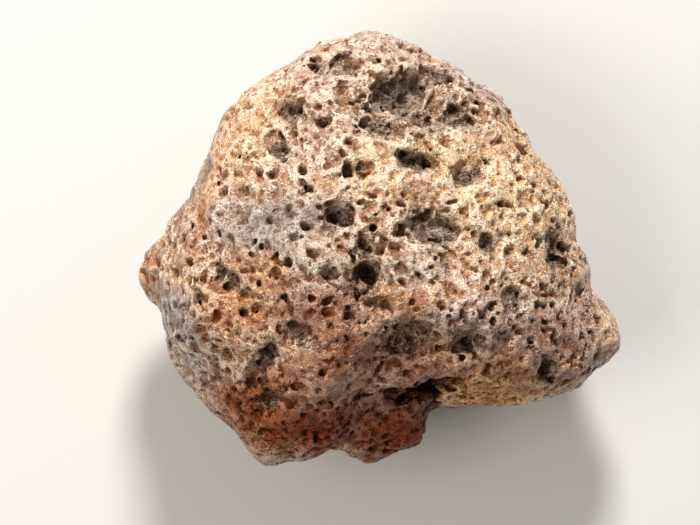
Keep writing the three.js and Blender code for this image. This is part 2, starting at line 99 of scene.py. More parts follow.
# ---------- Pits seen on the face: x, y, half length, half width, turn in degrees, depth ----------
# Places are from the middle of the stone, seen from above; at no turn a pit's length is along X.
FACE_PITS = [
    # along the crown's edge
    (-3.2, 17.2, 1.3, 0.6, 8, 1.2), (-6.3, 17.3, 0.9, 0.25, -5, 0.7), (-6.4, 18.1, 0.3, 0.3, 0, 0.4),
    (2.5, 19.3, 0.9, 0.5, 0, 0.6), (3.2, 18.9, 0.3, 0.3, 0, 0.4), (0.9, 17.4, 0.6, 0.25, 0, 0.4),
    (3.6, 17.6, 0.35, 0.35, 0, 0.5), (4.5, 16.6, 0.9, 0.7, 0, 1.0), (5.5, 16.3, 0.8, 0.7, 0, 1.0),
    (8.0, 15.8, 0.45, 0.6, 0, 0.9), (-0.5, 15.4, 0.5, 0.4, 0, 0.6),
    # upper left slope
    (-8.2, 14.75, 0.5, 0.3, 0, 0.5), (-8.9, 13.6, 0.9, 0.5, 0, 0.8), (-10.2, 12.7, 0.4, 0.25, 0, 0.5),
    (-9.0, 12.2, 0.8, 0.3, 0, 0.6), (-6.9, 13.5, 0.4, 0.4, 0, 0.6), (-5.8, 13.6, 0.4, 0.4, 0, 0.6),
    (-5.3, 11.9, 0.75, 0.6, 20, 1.2), (-9.5, 10.7, 0.6, 0.35, 0, 0.7), (-9.7, 9.4, 1.0, 0.8, 0, 0.8),
    (-8.8, 11.35, 0.2, 0.2, 0, 0.4), (-6.7, 11.2, 0.35, 0.3, 0, 0.5), (-2.7, 13.85, 0.35, 0.35, 0, 0.6),
    (-2.7, 9.95, 0.45, 0.45, 0, 0.8), (-6.7, 5.6, 0.9, 0.55, 0, 0.9), (-7.3, 6.3, 0.5, 0.4, 0, 0.6),
    (-12.6, 5.6, 0.5, 0.4, 0, 0.3), (-11.2, 7.4, 0.3, 0.3, 0, 0.4), (-11.8, 9.0, 0.3, 0.3, 0, 0.4),
    (-1.6, 11.7, 0.8, 0.8, 0, 1.1), (-0.4, 11.5, 0.8, 0.8, 0, 1.0), (-0.5, 13.2, 0.75, 0.75, 0, 1.0),
    # upper basin
    (2.1, 14.2, 0.75, 0.65, 0, 1.5), (4.1, 14.9, 0.65, 0.6, 0, 1.4), (3.4, 15.4, 0.8, 0.6, 0, 1.0),
    (0.6, 14.6, 0.8, 0.7, 0, 1.0), (1.1, 13.9, 0.4, 0.4, 0, 0.7), (4.0, 12.4, 0.7, 0.45, 0, 1.2),
    (4.8, 13.6, 0.5, 0.6, 0, 0.9), (7.9, 14.4, 0.6, 0.5, 0, 0.9), (9.1, 14.2, 0.5, 0.5, 0, 0.8),
    (7.5, 13.4, 0.8, 0.7, 0, 1.0), (8.8, 12.9, 0.6, 0.6, 0, 0.9), (7.9, 12.1, 1.2, 0.5, 10, 1.5),
    (6.8, 11.9, 0.35, 0.6, 0, 0.8), (5.6, 12.4, 0.4, 0.4, 0, 0.6), (1.2, 11.8, 0.7, 0.6, 0, 0.9),
    (2.1, 11.5, 0.7, 0.6, 0, 0.9), (0.6, 11.2, 0.6, 0.5, 0, 0.8),
    (0.3, 15.9, 0.5, 0.35, 20, 0.6), (1.3, 15.7, 0.5, 0.4, -30, 0.6), (0.2, 13.7, 0.35, 0.3, 0, 0.5),
    (2.9, 13.5, 0.4, 0.3, 40, 0.5), (2.0, 12.7, 0.5, 0.3, -10, 0.5), (5.6, 14.9, 0.45, 0.4, 0, 0.6),
    (6.5, 14.6, 0.4, 0.35, 0, 0.5), (6.3, 13.4, 0.45, 0.4, 30, 0.6), (9.6, 13.5, 0.35, 0.3, 0, 0.5),
    (6.9, 15.6, 0.5, 0.35, -20, 0.5), (10.6, 14.3, 0.6, 0.3, -35, 0.5), (11.2, 13.3, 0.5, 0.3, -50, 0.5),
    # twin pits, and those below them
    (-3.1, 7.2, 0.9, 0.85, 0, 1.8), (-1.7, 7.4, 0.5, 1.1, 0, 0.9), (-3.0, 5.7, 0.3, 0.3, 0, 0.5),
    (-0.7, 5.15, 0.5, 0.4, 0, 0.8), (-1.9, 4.6, 0.45, 0.3, 0, 0.6), (-3.8, 3.1, 1.2, 1.0, 0, 0.9),
    (-4.0, 4.3, 0.35, 0.35, 0, 0.6), (-1.0, 4.1, 0.45, 0.4, 0, 0.7), (-6.9, 2.2, 0.45, 0.45, 0, 0.9),
    (-5.1, 2.1, 0.5, 0.5, 0, 0.6), (-8.1, 1.0, 0.9, 0.4, 0, 0.7), (-0.6, 2.1, 0.4, 0.4, 0, 1.0),
    # right-hand slope
    (4.0, 10.2, 0.9, 0.35, -40, 1.0), (5.5, 9.6, 0.3, 0.3, 0, 0.5), (6.3, 10.6, 0.5, 0.25, 0, 0.4),
    (3.3, 8.4, 1.8, 0.8, -3, 0.9), (8.2, 6.9, 1.2, 0.8, 10, 0.9), (9.0, 7.8, 0.35, 0.5, 0, 0.9),
    (10.1, 8.6, 0.45, 0.4, 0, 0.7), (10.6, 10.4, 0.3, 0.3, 0, 0.5), (9.6, 11.5, 0.2, 0.2, 0, 0.4),
    (10.2, 11.5, 0.2, 0.2, 0, 0.4), (13.0, 10.6, 0.4, 0.4, 0, 0.6), (13.6, 9.6, 0.35, 0.35, 0, 0.5),
    (11.2, 4.5, 0.45, 0.4, 0, 0.7), (11.9, 4.3, 0.3, 0.3, 0, 0.5), (14.4, 4.4, 0.4, 0.35, 0, 0.6),
    (15.4, 4.6, 0.3, 0.3, 0, 0.5), (13.2, 5.1, 0.3, 0.3, 0, 0.5), (13.9, 3.9, 0.25, 0.25, 0, 0.5),
    (16.3, 4.3, 0.3, 0.3, 0, 0.5), (17.2, 4.6, 0.6, 0.5, 0, 0.8), (18.2, 3.4, 0.4, 0.4, 0, 0.6),
    (2.6, 5.3, 0.35, 0.35, 0, 0.6), (0.6, 3.9, 0.5, 0.5, 0, 0.8), (3.7, 3.6, 0.3, 0.6, 0, 1.1),
    (4.5, 3.4, 0.45, 0.4, 0, 1.1), (6.2, 3.7, 0.35, 0.35, 0, 0.6), (2.5, 3.6, 0.3, 0.3, 0, 0.5),
    # across the middle
    (-1.3, 0.3, 0.75, 0.85, 0, 1.1), (0.0, 0.0, 0.4, 0.7, 0, 0.9), (1.8, 1.6, 0.9, 0.6, 0, 0.9),
    (4.6, 1.4, 1.2, 0.7, 0, 0.8), (3.5, 1.0, 0.5, 0.5, 0, 0.8), (6.5, 1.6, 0.8, 0.5, 0, 0.9),
    (10.2, 0.4, 0.6, 0.6, 0, 0.6), (16.0, 1.3, 0.35, 0.35, 0, 0.6), (17.2, 0.4, 0.6, 0.7, 0, 1.1),
    (16.6, -1.4, 0.8, 1.15, 0, 1.4), (1.0, 0.2, 0.35, 0.35, 0, 0.6), (6.1, -1.1, 0.7, 0.4, 0, 1.0),
    (4.7, -1.6, 0.4, 0.4, 0, 0.7), (5.3, -2.7, 0.35, 0.35, 0, 0.7), (-1.1, -2.7, 0.7, 0.8, 20, 0.9),
    (-2.0, -4.0, 0.4, 0.85, -15, 0.9), (-1.8, -1.9, 0.35, 0.4, 0, 0.7), (-0.6, -4.7, 0.6, 0.35, 10, 0.9),
    (0.3, -4.8, 0.5, 0.35, -20, 0.7), (1.0, -3.2, 0.3, 0.5, 20, 0.7), (-4.2, -2.4, 0.4, 0.4, 0, 0.7),
    (6.9, -3.8, 0.35, 0.35, 0, 0.6), (5.6, -4.9, 0.35, 0.35, 0, 0.6), (10.9, -3.1, 0.45, 0.35, 0, 0.7),
    (12.6, -4.0, 0.5, 0.5, 0, 1.4), (12.3, -5.2, 0.7, 0.5, 0, 0.9), (15.8, -4.2, 0.6, 0.35, 0, 0.8),
    (19.0, -4.0, 0.35, 0.35, 0, 0.6), (19.8, -2.3, 0.4, 0.4, 0, 0.6), (-6.2, -0.3, 0.6, 0.5, 0, 0.7),
    (-3.7, 0.4, 0.75, 0.4, 0, 0.6), (-4.4, -2.2, 0.65, 0.6, 0, 0.9), (-2.6, -0.6, 0.35, 0.8, 0, 0.9),
    # right-hand side below the ridge
    (9.3, -6.2, 0.3, 0.5, 0, 0.7), (10.5, -6.5, 0.35, 0.35, 0, 0.7), (14.2, -6.7, 0.25, 0.25, 0, 0.5),
    (15.4, -6.8, 0.5, 0.3, 0, 0.6), (11.8, -7.8, 0.3, 0.3, 0, 0.6), (13.3, -7.9, 0.3, 0.3, 0, 0.6),
    (5.0, -8.1, 0.5, 0.5, 0, 0.9), (8.4, -8.7, 1.1, 0.5, 0, 1.0), (7.7, -10.1, 0.35, 0.35, 0, 1.0),
    (8.6, -11.1, 0.3, 0.3, 0, 0.6), (15.7, -11.5, 0.7, 1.1, 0, 1.1), (19.1, -10.2, 0.4, 0.4, 0, 0.7),
    (14.0, -8.5, 0.4, 0.4, 0, 0.6), (12.7, -12.9, 0.3, 0.3, 0, 0.6), (0.3, -12.3, 0.5, 0.5, 0, 0.7),
    (2.4, -11.6, 0.4, 0.4, 0, 0.7), (-1.4, -13.8, 0.7, 0.5, 0, 0.8), (-4.9, -14.2, 0.8, 0.4, 0, 0.7),
    (1.5, -7.5, 0.6, 0.45, 30, 0.8), (3.9, -7.5, 0.65, 0.5, -20, 0.8), (3.8, -9.4, 0.6, 0.5, 10, 0.8),
    (1.7, -9.3, 0.55, 0.45, 60, 0.7), (2.8, -6.8, 0.5, 0.3, 0, 0.5), (4.6, -8.9, 0.4, 0.4, 0, 0.6),
    # left flank
    (-8.8, -4.5, 0.6, 0.4, 0, 0.7), (-5.0, -4.7, 0.6, 0.4, 0, 0.7), (-2.9, -6.1, 0.55, 0.7, 0, 1.1),
    (-4.7, -6.1, 0.5, 0.5, 0, 0.7), (-8.1, -7.8, 0.9, 0.7, 0, 1.0), (-9.8, -2.6, 0.6, 0.4, 0, 0.7),
    (-14.0, -3.3, 0.75, 0.7, 0, 1.1), (-14.7, -2.1, 0.35, 0.35, 0, 0.7), (-15.7, -3.2, 0.4, 0.35, 0, 0.7),
    (-17.0, -4.5, 0.5, 0.9, 0, 1.0), (-17.2, -2.8, 0.3, 0.3, 0, 0.5), (-16.7, -6.7, 0.2, 0.7, 0, 0.6),
    (-18.8, -8.4, 0.6, 0.35, 0, 0.7), (-10.5, -9.6, 1.1, 0.8, 55, 1.2), (-13.7, -13.0, 0.35, 0.45, 0, 0.6),
    (-7.6, -12.6, 0.55, 0.4, 0, 0.7), (-8.6, -14.8, 1.6, 0.7, 40, 1.0), (-15.6, -8.3, 1.0, 0.4, 0, 0.7),
    (-11.0, -14.0, 1.2, 0.7, 20, 0.9),
    # crevice under the ledge
    (2.6, -14.1, 1.3, 0.7, 25, 2.4), (4.4, -13.4, 2.2, 1.3, 18, 3.6), (5.5, -14.4, 0.8, 1.1, 0, 2.4),
    (6.9, -12.5, 1.3, 0.5, 10, 1.8),
]

# ---------- Thin walls left standing in the deepest hollows: as above, but a height last ----------
WALL_ROOT = 0.8  # how far under the smooth skin a wall's middle lies; it rises past it by the height
WALLS = [
    (-1.8, -3.3, 1.0, 0.26, -62, 1.2), (-0.4, -4.15, 1.1, 0.28, 4, 1.1), (4.4, 14.3, 1.4, 0.3, 85, 0.3),
    (3.3, 12.9, 1.4, 0.3, 40, 0.2), (6.1, 13.4, 1.2, 0.28, 70, 0.2), (2.5, -8.2, 1.4, 0.3, 35, 0.0),
]

# ---------- Broad rough hollows of the face: as the pits ----------
HOLLOWS = [
    (2.0, 14.6, 3.6, 2.1, 10, 1.2), (7.3, 13.0, 2.5, 1.5, -10, 0.9), (7.8, 12.1, 1.6, 0.7, 10, 0.7),
    (-3.3, 17.4, 2.0, 0.9, 5, 0.8), (-8.6, 13.2, 1.7, 1.2, 0, 0.6), (5.2, 16.6, 1.7, 1.0, -10, 0.8),
    (3.1, 8.5, 2.0, 1.0, -4, 0.9), (8.0, 6.8, 1.5, 1.0, 10, 0.9), (4.4, 2.0, 2.8, 1.3, -5, 0.8),
    (-1.5, -3.1, 1.6, 2.3, 5, 0.3), (-11.0, -10.4, 2.2, 0.8, 58, 0.9), (-10.6, -14.2, 2.2, 1.0, 25, 0.6),
    (2.8, -8.2, 2.2, 1.8, 0, 0.5), (16.8, -0.6, 1.1, 1.9, 0, 0.8), (0.4, 11.5, 2.4, 0.9, 0, 0.8),
    (-3.9, 3.1, 1.5, 1.1, 0, 0.7), (-9.6, 9.8, 1.2, 1.3, 0, 0.6), (-1.4, 0.4, 1.0, 1.1, 0, 0.5),
    (4.0, 12.2, 1.2, 0.8, 0, 0.4), (-7.8, -7.8, 1.5, 1.0, 0, 0.7), (-14.3, -3.0, 1.6, 1.2, 0, 0.5),
    (8.3, -8.8, 1.6, 0.8, 0, 0.6), (12.5, -4.6, 1.1, 1.2, 0, 0.6), (15.7, -11.5, 1.0, 1.3, 0, 0.6),
    (10.1, 0.3, 1.0, 0.9, 0, 0.5), (6.2, -1.0, 1.2, 0.8, 0, 0.4),
]

# ---------- Small pits all over ----------
TRIED_PITS = 12000
PIT_SHARE = 0.55  # of the places tried that get a pit on plain rind
BUSY_GAIN, CALM_LOSS = 0.45, 0.5  # how far busy and smooth patches change that share
SMALL_PIT = 0.19  # radius of the smallest
LARGEST_SMALL_PIT = 0.6
CALM_SHRINK = 0.5  # how much smaller the largest is on smooth rind
PIT_SPREAD = 3.0  # the higher, the rarer the large ones
SMALL_PIT_WIDTH = (0.65, 1.0)  # from and to, in the pit's radius, as the two below
SMALL_PIT_DEPTH = (0.8, 1.3)
SMALL_PIT_SINK = (-0.2, 0.5)  # how far its middle lies under the skin
SKIN_RADIUS = 0.3  # of the blur that gives the skin on which they are placed
# x, y, reach along, reach across, turn in degrees, strength
SMOOTH_PATCHES = [
    (-10.5, 2.6, 5.0, 2.6, 8, 0.8), (-17.0, 7.0, 5.0, 1.2, 68, 0.9), (-6.5, -4.6, 3.5, 1.0, 0, 0.5),
    (-2.0, -9.6, 4.5, 2.6, 0, 0.6), (22.0, -9.0, 1.4, 2.6, 0, 0.8), (0.0, 19.5, 3.0, 1.3, 0, 0.5),
    (-9.5, 16.0, 2.6, 1.4, 35, 0.4),
]
BUSY_PATCHES = [
    (2.5, 13.5, 4.5, 3.0, 0, 1.0), (12.0, 4.0, 6.0, 6.0, 0, 1.0), (3.5, 2.0, 4.0, 2.5, 0, 0.8),
    (-14.5, -5.5, 4.0, 4.0, 0, 0.8), (7.5, 12.5, 3.0, 2.5, 0, 0.8), (12.0, -6.0, 5.0, 3.0, 0, 0.6),
] + [(x, y, a, b, turn, 1.0) for x, y, a, b, turn, _ in HOLLOWS]

# ---------- Where each colour of the rind lies ----------
# Its breadth on the back, where it lies at random, and its patches on the face, as those above.
COLOUR_PATCHES = {
    "ochre": (6.0, [
        (-13.0, -6.0, 3.6, 3.0, 0, 0.9), (-16.0, 5.0, 6.0, 1.0, 75, 0.8), (3.0, -4.5, 2.2, 1.8, 0, 0.8),
        (-22.0, -2.5, 1.4, 3.0, 0, 0.7), (-11.5, 12.0, 5.0, 1.6, 48, 0.5), (14.5, 7.0, 5.0, 2.5, -60, 0.4),
        (14.0, -11.3, 5.0, 1.8, 0, 0.9), (6.0, -10.2, 3.0, 1.5, 0, 0.6), (22.5, -10.5, 1.4, 1.4, 0, 0.7),
        (-7.0, -9.0, 3.0, 2.0, 0, 0.5), (-12.0, -1.8, 3.2, 1.4, 0, 0.8),
    ]),
    "grey": (7.0, [
        (-10.0, 2.5, 5.5, 3.0, 5, 1.0), (-19.0, -7.5, 5.0, 2.2, -68, 0.9), (-17.2, 8.0, 4.5, 1.0, 68, 1.0),
        (13.0, -7.0, 6.0, 2.6, 0, 0.5), (-8.0, -3.9, 4.0, 1.2, 0, 0.4), (3.0, -1.0, 2.5, 1.5, 0, 0.6),
        (-5.5, -0.8, 3.0, 1.8, 0, 0.6), (-4.0, 10.0, 3.0, 3.0, 0, 0.4),
    ]),
    "mauve": (5.0, [
        (-0.5, 19.6, 3.2, 1.6, 0, 1.0), (-4.8, 15.8, 2.6, 1.8, 0, 0.6), (7.0, 17.4, 1.6, 1.0, -30, 0.9),
        (10.3, 15.0, 1.8, 1.0, -30, 0.9), (-6.0, -5.3, 4.0, 1.2, 0, 0.8), (6.5, -6.3, 4.0, 1.5, 0, 0.6),
        (18.0, -7.0, 2.5, 2.5, 0, 0.5),
    ]),
    "russet": (7.0, [
        (-2.5, -9.6, 5.5, 3.2, 0, 1.0), (-9.5, -12.5, 4.0, 2.4, 40, 0.9), (-5.5, -5.5, 4.0, 1.5, 0, 0.9),
        (3.0, -11.5, 4.0, 1.8, 0, 0.8), (14.0, -8.5, 7.0, 3.0, 0, 0.45),
    ]),
    "umber": (9.0, [
        (-6.5, -17.0, 6.5, 3.0, 8, 1.0), (1.5, -17.6, 5.5, 3.6, 0, 1.0), (-11.5, -15.0, 4.0, 3.0, 0, 1.0),
        (3.0, -8.6, 2.0, 1.7, 0, 0.6), (-1.5, -3.2, 1.2, 1.9, 0, 0.95), (4.5, -13.6, 4.0, 1.3, 15, 1.0),
        (16.8, -0.6, 1.1, 1.8, 0, 0.6),
    ]),
    # A painted shadow: near-black in the crevice under the ledge and faintly below it, and at random on
    # the back.
    "painted_shadow": (30.0, [
        (4.3, -13.5, 2.4, 1.2, 16, 1.0), (5.2, -14.9, 0.9, 1.0, 0, 0.9), (1.5, -17.4, 5.0, 2.6, 0, 0.2),
    ]),
    # Clay fill in the broad hollows, made darker partly as painted shade.
    "hollow_clay_and_shade": (4.0, [(x, y, a, b, turn, 0.9) for x, y, a, b, turn, _ in HOLLOWS] + [
        (9.8, 14.4, 1.6, 1.0, -40, 0.8),
    ]),
    "gold": (11.0, [(9.8, -13.9, 4.0, 1.5, 0, 0.95), (5.0, 9.0, 2.0, 1.0, 0, 0.3)]),
    "cream": (8.0, [
        (-5.5, 0.2, 4.0, 1.3, -30, 0.25), (-19.0, -0.8, 0.7, 0.5, 0, 0.9), (-18.3, -3.3, 1.1, 0.5, 0, 0.9),
        (-18.8, -9.3, 0.5, 0.4, 0, 0.9), (22.3, -8.0, 1.3, 2.2, 0, 1.0), (12.0, 4.5, 6.5, 6.0, 0, 0.9),
        (-12.0, 11.0, 5.0, 2.8, 55, 0.6), (0.0, 8.5, 3.5, 3.0, 0, 0.7), (8.0, 8.5, 3.5, 3.0, 0, 0.8),
        (-1.0, 18.5, 4.0, 2.0, 0, 0.2),
    ]),
}
BACK_LEVEL, BACK_FADE = 4.5, 4.0  # height where the back ends, and over which the face begins
PATCH_FADE = 0.7  # the higher, the smaller a patch of the face
STRAY_SIZE, STRAY = 2.2, 1.3  # size and reach of what makes the patches of the face ragged
BACK_CONTRAST, BACK_THRESHOLD = 1.6, 0.3  # of the random patches of the back
COLOUR_STEP = 0.6  # of the grid for the noise of both
HOLLOW_REACH, BASIN_REACH = 0.4, 1.4  # radii over which a place is seen as hollow, or in a basin

# ---------- Tones of the rind: in its hollows, on its body, and on its threads and crests ----------
RIND = ("834822", "bc885c", "f3ddc4")
RIND_COLOURS = {  # the later over the earlier
    "grey": ("70574a", "998679", "d8cdc3"),
    "mauve": ("6c4034", "b08678", "e8cfc4"),
    "ochre": ("7a3a10", "aa6228", "d8a064"),
    "cream": ("bb7840", "f8c98e", "fff1d2"),
    "russet": ("5e260e", "8e4622", "b47850"),
    "umber": ("360e00", "842c02", "a8541e"),
    # Tones of the clay fill in the broad hollows, darker partly as painted shade.
    "hollow_clay_and_shade": ("22120a", "5e4330", "ccae94"),
    "gold": ("74380e", "c87828", "f6cc88"),
    # Tones of the painted shadow in the crevice under the ledge.
    "painted_shadow": ("0a0402", "190b05", "4a2c1a"),
}
RUST = "96602f"
# Dark clay brown for the broad basins: partly clay fill, partly painted shade.
BASIN_CLAY_AND_SHADE = "4a3020"
# Dark brown for the deepest pits: partly clay fill, partly painted shade.
DEEP_PIT_FILL_AND_SHADE = "2b160a"
CHALCEDONY_IOR = 1.54

# ---------- Marks of the rind in the material: sizes in millimetres ----------
THREADS = (0.36, 0.8)
THREAD_WIDTHS = (0.01, 0.09)  # from and to, in the range of the noise that they follow
LARGE_PORES, SMALL_PORES = (0.85, 0.85), (0.42, 0.8)  # size, share of its cells that have a pore
MOTTLES, RUST_PATCHES, THREAD_PATCHES = 0.6, 1.5, 1.8
FINE_GRAIN, SPECKS = 0.22, 0.2
PORE_TONE, THREAD_RIM = 0.8, 0.45  # strength of the low tone in pores, and of threads in basins
BUMP_HEIGHT = 0.08  # of a thread
LARGE_PORE_BUMP, SMALL_PORE_BUMP, FINE_BUMP, SPECK_BUMP = 2.2, 1.4, 2.0, 0.8  # in that height

# ---------- How the photograph frames the stone ----------
PHOTO_WIDTH_PX, PHOTO_HEIGHT_PX = 700, 525
STONE_WIDTH_PX = 483.5
STONE_CENTRE_PX = (379.75, 248.5)
STONE_WIDTH = 46.5
MM_PER_PX = STONE_WIDTH / STONE_WIDTH_PX
OUTLINE_LEVEL = 12.5  # the height at which the stone is widest
LENS = 250  # long, for the flat view of a close photograph

# ---------- Studio: places and sizes in millimetres, powers in watts ----------
FLOOR_SIZE = 4000
FLOOR_COLOUR, FLOOR_ROUGHNESS = (0.64, 0.63, 0.61, 1.0), 0.8
SKY_COLOUR, SKY_STRENGTH = (1.0, 0.98, 0.96, 1.0), 0.24
STONE_MIDDLE = 14  # the height at which the lamps are aimed
LAMPS = {
    "key": {"place": (20, 360, 280), "size": 90, "power": 2.85, "tint": (1.0, 0.98, 0.95)},
    "fill": {"place": (-240, -60, 300), "size": 260, "power": 0.98, "tint": (1.0, 0.94, 0.87)},
}


# ---------- Grids ----------
class Grid:
    """A box of cells of one size; a field on it holds one number for each cell's corner."""

    def __init__(self, low, high, step):
        self.low = np.array(low, np.float32)
        self.step = step
        self.shape = tuple(int(math.ceil((b - a) / step)) + 1 for a, b in zip(low, high))

    def line(self, axis):
        """The places of the corners along one axis."""
        return self.low[axis] + self.step * np.arange(self.shape[axis], dtype=np.float32)

    def block(self, centre, reach):
        """The slices of the corners within reach of a place."""
        centre = np.array(centre, float)
        first = np.floor((centre - reach - self.low) / self.step).astype(int)
        last = np.ceil((centre + reach - self.low) / self.step).astype(int) + 1
        first, last = np.maximum(first, 0), np.minimum(last, self.shape)
        return tuple(slice(a, b) for a, b in zip(first, last))

    def read(self, field, places):
        """The field at any places, by straight-line mixing of the eight corners around each."""
        last = np.array(self.shape) - 1.001  # a hair before the last corner
        at = np.clip((places - self.low) / self.step, 0, last)
        base = at.astype(int)
        part = (at - base).astype(np.float32)
        total = np.zeros(len(places), np.float32)
        for corner in np.ndindex(2, 2, 2):
            share = np.prod(np.where(corner, part, 1 - part), axis=1)
            i, j, k = (base + corner).T
            total += share * field[i, j, k]
        return total


def bent(field, coarse, fine, warp):
    """A field on one grid, read on another at places pushed about by a warp."""
    made = np.empty(fine.shape, np.float32)
    ys, zs = np.meshgrid(fine.line(1), fine.line(2), indexing="ij")
    for i, x in enumerate(fine.line(0)):
        places = np.stack([np.full_like(ys, x), ys, zs], axis=-1)
        places += np.stack([w[i] for w in warp], axis=-1)
        made[i] = coarse.read(field, places.reshape(-1, 3)).reshape(ys.shape)
    return made


def blurred(field, radius):
    """The field averaged over a bell of this radius, given in cells."""
    reach = int(math.ceil(BELL_REACH * radius))
    weights = np.exp(-0.5 * (np.arange(-reach, reach + 1) / radius) ** 2)
    weights = (weights / weights.sum()).astype(np.float32)
    for axis in range(3):
        padded = np.pad(field, [(reach, reach) if n == axis else (0, 0) for n in range(3)], "edge")
        size = field.shape[axis]
        total = np.zeros_like(field)
        for i, weight in enumerate(weights):
            window = [slice(None)] * 3
            window[axis] = slice(i, i + size)
            total += weight * padded[tuple(window)]
        field = total
    return field


# ---------- Noise ----------
def eased_along(field, places, axis):
    """The field at fractional places along one axis, eased from each corner to the next."""
    base = np.clip(np.floor(places).astype(int), 0, field.shape[axis] - 2)
    part = (places - base).astype(np.float32)
    part = part * part * (3 - 2 * part)
    part = part.reshape([-1 if n == axis else 1 for n in range(3)])
    here, there = np.take(field, base, axis), np.take(field, base + 1, axis)
    return here + (there - here) * part


def lattice_noise(grid, size, rng):
    """Random numbers at the corners of cells of this size, eased from each corner to the next."""
    cells = [int(math.ceil((n - 1) * grid.step / size)) + 3 for n in grid.shape]
    field = rng.uniform(-1, 1, cells).astype(np.float32)
    for axis in range(3):
        start = rng.uniform(0, 1)
        field = eased_along(field, start + np.arange(grid.shape[axis]) * grid.step / size, axis)
    return field


def noise(grid, size, rng):
    """Smooth noise from about -1 to 1 on a grid, in bumps of this size, with no rows of its own."""
    first = lattice_noise(grid, size, rng)
    return NOISE_LEVEL * (first + lattice_noise(grid, SECOND_LATTICE * size, rng))


def summed(grid, sizes, rng):
    """Noise of several sizes at once, each with its own height."""
    return sum(height * noise(grid, size, rng) for size, height in sizes)


# ---------- The solid as distances ----------
def solid_tree(node):
    """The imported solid's faces, ready to be searched, in millimetres."""
    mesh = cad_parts[node].data
    corners = [v.co / MM for v in mesh.vertices]
    return BVHTree.FromPolygons(corners, [list(face.vertices) for face in mesh.polygons])


def signed_distances(tree, grid):
    """Distance to the solid from each corner of a grid: below zero inside it."""
    field = np.empty(grid.shape, np.float32)
    xs, ys, zs = (grid.line(axis).tolist() for axis in range(3))
    for i, x in enumerate(xs):
        for j, y in enumerate(ys):
            for k, z in enumerate(zs):
                place = Vector((x, y, z))
                nearest, normal, _, distance = tree.find_nearest(place)
                outside = (place - nearest).dot(normal) >= 0
                field[i, j, k] = distance if outside else -distance
    return field


# ---------- Roughening and carving: what is added to the field is taken from the stone ----------
def ridged(field, grid, rng, sizes, share=1.0):
    """Relief of several sizes, sharper on its crests than in its hollows."""
    for size, height in sizes:
        sunk = np.abs(noise(grid, size, rng)) * RIDGE_DEPTH - RIDGE_RISE
        field = field + share * height * sunk
    return field


def grain_share(field, grid):
    """Share of the grain: little where the stone is proud and worn, much on the floors of pits."""
    proud = blurred(field, WEAR_REACH / grid.step) - field
    return np.clip(PLAIN_GRAIN - WEAR_RATE * proud, LEAST_GRAIN, MOST_GRAIN)


def around(grid, warp, bend, centre, reach):
    """The block of the grid within reach of a place, and its corners' bent way from there."""
    span = grid.block(centre, reach)
    lines = (grid.line(axis)[span[axis]] for axis in range(3))
    places = np.stack(np.meshgrid(*lines, indexing="ij"), axis=-1)
    return span, places - centre + np.stack([w[span] for w in warp], axis=-1) * bend


def egg(grid, warp, centre, axes, half):
    """The block of the grid around one bent egg, and how far inside the egg its corners lie."""
    bend = EGG_BEND * min(half[0], LONGEST_BENDING)
    span, away = around(grid, warp, bend, centre, max(half) * EGG_ROOM[0] + EGG_ROOM[1])
    local = away @ axes.T / np.array(half, np.float32)
    return span, (1 - np.sqrt((local * local).sum(-1))) * min(half)


def carve(field, grid, warp, centre, axes, half, edge):
    """Cuts one bent egg out of the stone, its rim rounded over this edge.

    half is the egg's half size along each axis.
    """
    span, inside = egg(grid, warp, centre, axes, half)
    here = field[span]
    near = np.maximum(edge - np.abs(here - inside), 0) / edge
    rounding = near * near * edge * 0.25  # makes it a smooth maximum
    field[span] = np.maximum(here, inside) + rounding


def raise_wall(field, grid, warp, centre, axes, half):
    """Adds one bent egg to the stone."""
    span, inside = egg(grid, warp, centre, axes, half)
    field[span] = np.minimum(field[span], -inside)


def dent(field, grid, warp, centre, axes, half, depth):
    """Presses a broad hollow with a rough rim into the stone, without a wall of its own."""
    span, away = around(grid, warp, DENT_BEND, centre, max(half) * DENT_ROOM[0] + DENT_ROOM[1])
    local = away @ axes[:2].T / np.array(half, np.float32)
    apart = np.sqrt((local * local).sum(-1))
    share = np.clip((DENT_RIM - apart) / (DENT_RIM - DENT_FLOOR), 0, 1)
    field[span] += depth * share * share * (3 - 2 * share)


# ---------- From field to mesh ----------
CORNERS = np.array(list(np.ndindex(2, 2, 2)))  # of one cell
EDGES = [
    (a, b) for a in range(8) for b in range(a + 1, 8) if np.abs(CORNERS[a] - CORNERS[b]).sum() == 1
]


def net(field, grid):
    """Vertices and four-sided faces of the surface where the field is zero."""
    inside = field < 0
    cells = tuple(n - 1 for n in field.shape)
    count = np.zeros(cells, np.int8)
    for corner in CORNERS:
        count += inside[tuple(slice(c, c + n) for c, n in zip(corner, cells))]
    crossed = np.argwhere((count > 0) & (count < 8))
    number = np.full(cells, -1, np.int32)
    number[tuple(crossed.T)] = np.arange(len(crossed))
    return net_vertices(field, grid, crossed), net_faces(inside, number)


def net_vertices(field, grid, crossed):
    """One vertex in each crossed cell: the middle of the places where its edges are crossed."""
    values = [field[tuple((crossed + corner).T)] for corner in CORNERS]
    total = np.zeros((len(crossed), 3), np.float32)
    crossings = np.zeros(len(crossed), np.float32)
    for a, b in EDGES:
        va, vb = values[a], values[b]
        crosses = (va < 0) != (vb < 0)
        part = np.where(crosses, va / np.where(va == vb, 1, va - vb), 0)
        place = CORNERS[a] + part[:, None] * (CORNERS[b] - CORNERS[a])
        total += place * crosses[:, None]
        crossings += crosses
    return grid.low + grid.step * (crossed + total / crossings[:, None])


